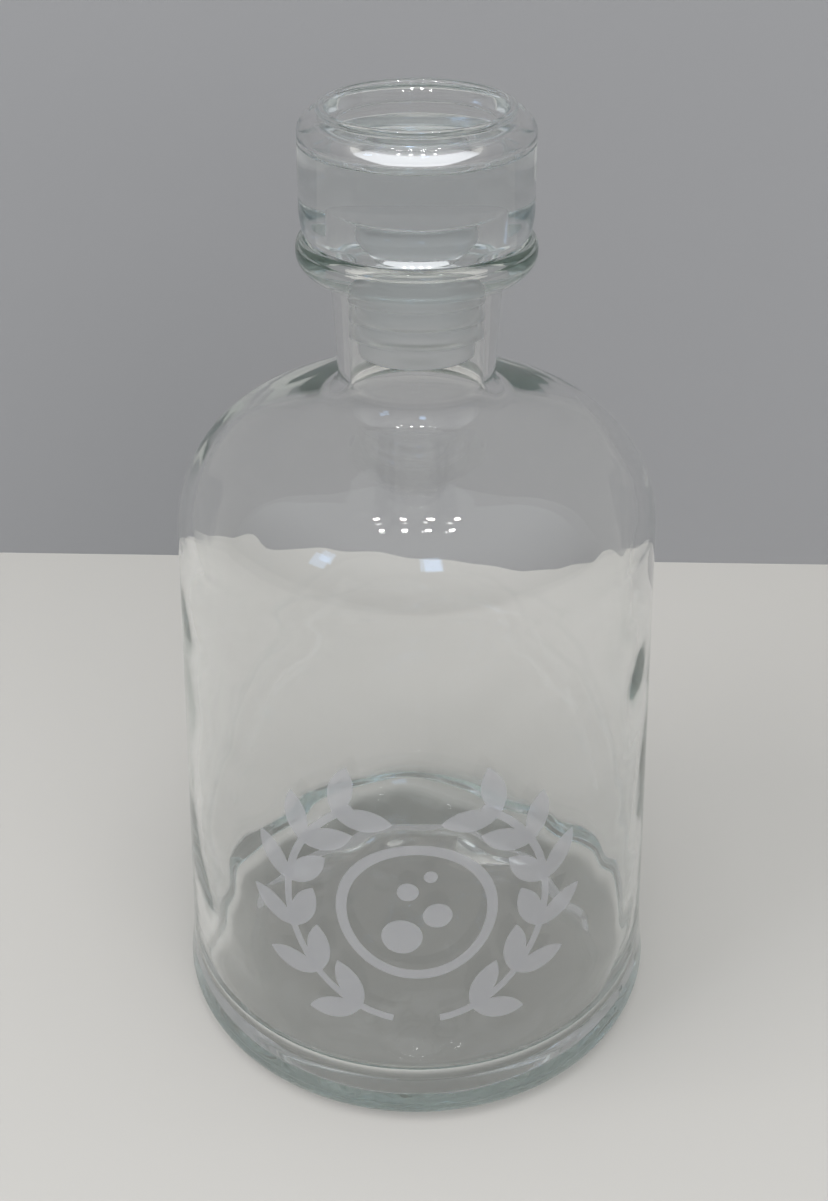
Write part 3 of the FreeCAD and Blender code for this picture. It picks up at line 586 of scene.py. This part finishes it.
def makeWorld(s):
    # brighter overhead than at the horizon, as a room is; plain pale grey to the camera
    world = bpy.data.worlds.new("softRoom")
    bpy.context.scene.world = world
    world.use_nodes = True
    tree = world.node_tree
    room = tree.nodes["Background"]
    place = tree.nodes.new("ShaderNodeTexCoord")
    parts = tree.nodes.new("ShaderNodeSeparateXYZ")
    ramp = tree.nodes.new("ShaderNodeValToRGB")
    ramp.color_ramp.elements[0].position = s["horizonEnd"]
    ramp.color_ramp.elements[0].color = s["horizonColour"]
    ramp.color_ramp.elements[1].position = s["overheadStart"]
    ramp.color_ramp.elements[1].color = s["overheadColour"]
    plain = tree.nodes.new("ShaderNodeBackground")
    plain.inputs["Color"].default_value = s["backColour"]
    path = tree.nodes.new("ShaderNodeLightPath")
    mix = tree.nodes.new("ShaderNodeMixShader")
    tree.links.new(place.outputs["Generated"], parts.inputs["Vector"])
    tree.links.new(parts.outputs["Z"], ramp.inputs["Fac"])
    tree.links.new(ramp.outputs["Color"], room.inputs["Color"])
    tree.links.new(path.outputs["Is Camera Ray"], mix.inputs["Fac"])
    tree.links.new(room.outputs["Background"], mix.inputs[1])
    tree.links.new(plain.outputs["Background"], mix.inputs[2])
    tree.links.new(mix.outputs["Shader"], tree.nodes["World Output"].inputs["Surface"])


def addLamp(name, place, size, power, colour=(1, 1, 1), seenInGlass=True):
    light = bpy.data.lights.new(name, "AREA")
    light.shape = "RECTANGLE"
    light.size, light.size_y = size
    light.energy = power
    light.color = colour
    lamp = bpy.data.objects.new(name, light)
    bpy.context.scene.collection.objects.link(lamp)
    lamp.location = place
    lamp.rotation_euler = (Vector(lampAim) - Vector(place)).to_track_quat("-Z", "Y").to_euler()
    lamp.visible_glossy = seenInGlass
    lamp.visible_transmission = seenInGlass


# Lamps: places and sizes in metres

lampAim = (0, 0, 0.1)

lamps = {
    "columns": 4, "rows": 2, "columnStep": 0.20, "rowStep": 0.26, "gridPlace": (0.0, -0.33, 1.45),
    "bulbSize": (0.045, 0.045), "bulbPower": 0.45,
    "windowPlaces": [(-1.0, -0.87, 0.9), (0.18, -1.15, 1.08)], "windowSize": (0.20, 0.28),
    "windowPower": 0.75, "windowColour": (0.42, 0.64, 1.0),
    "keyPlace": (-0.95, -0.45, 1.25), "keySize": (0.8, 0.8), "keyPower": 11.8,
    "fillPlace": (0.6, -1.3, 0.8), "fillSize": (1.0, 1.0), "fillPower": 12.0,
}


def makeLamps(s):
    x, y, z = s["gridPlace"]
    for row in range(s["rows"]):
        for column in range(s["columns"]):
            across = (column - (s["columns"] - 1) / 2) * s["columnStep"]
            along = (row - (s["rows"] - 1) / 2) * s["rowStep"]
            addLamp("bulb", (x + across, y + along, z), s["bulbSize"], s["bulbPower"])
    for place in s["windowPlaces"]:
        addLamp("window", place, s["windowSize"], s["windowPower"], s["windowColour"])
    addLamp("softKey", s["keyPlace"], s["keySize"], s["keyPower"], seenInGlass=False)
    addLamp("softFill", s["fillPlace"], s["fillSize"], s["fillPower"], seenInGlass=False)


camera = {
    "focalLength": 49.43, "sensor": 36.0, "distance": 302.6, "height": 288.3, "pitchDown": 24.3,
    "shiftX": -0.0023, "shiftY": -0.2003, "nearest": 10.0,
}


def makeCamera(s):
    data = bpy.data.cameras.new("camera")
    data.sensor_width = s["sensor"]
    data.lens = s["focalLength"]
    data.shift_x = s["shiftX"]
    data.shift_y = s["shiftY"]
    data.clip_start = s["nearest"] * mm
    eye = bpy.data.objects.new("camera", data)
    bpy.context.scene.collection.objects.link(eye)
    eye.location = (0, -s["distance"] * mm, s["height"] * mm)
    eye.rotation_euler = (math.radians(90 - s["pitchDown"]), 0, 0)
    bpy.context.scene.camera = eye


makeCamera(camera)
print("camera placed")

bottleGlass = makeBottle(bottle)
bottleGlass.data.materials.append(makeGlass("bottleGlass", bottle))
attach(bottleGlass, "bottle")
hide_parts("bottle")
print("bottle turned")

frostedEmblem = makeEmblem(emblem, bottle)
frostedEmblem.data.materials.append(makeFrost("frost", emblem))
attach(frostedEmblem, "bottle")
print("emblem drawn")

stopperGlass = makeStopper(stopper)
stopperGlass.data.materials.append(makeGlass("stopperGlass", stopper))
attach(stopperGlass, "stopper")
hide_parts("stopper")
print("stopper turned")

sealRubber = makeSeal(seal)
sealRubber.data.materials.append(makeRubber("milkyRubber", seal))
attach(sealRubber, "seal")
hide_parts("seal_sleeve")
print("seal turned")

makeFloor(stage)
makeWall(stage)
makeWorld(stage)
makeLamps(lamps)
print("stage lit")

scene = bpy.context.scene
scene.view_settings.view_transform = "Standard"
lightBounces = 128  # light runs a long way inside thick glass
clearBounces = 40
scene.cycles.max_bounces = lightBounces
scene.cycles.transmission_bounces = lightBounces
scene.cycles.glossy_bounces = lightBounces
scene.cycles.transparent_max_bounces = clearBounces
scene.cycles.caustics_reflective = False
scene.cycles.caustics_refractive = False
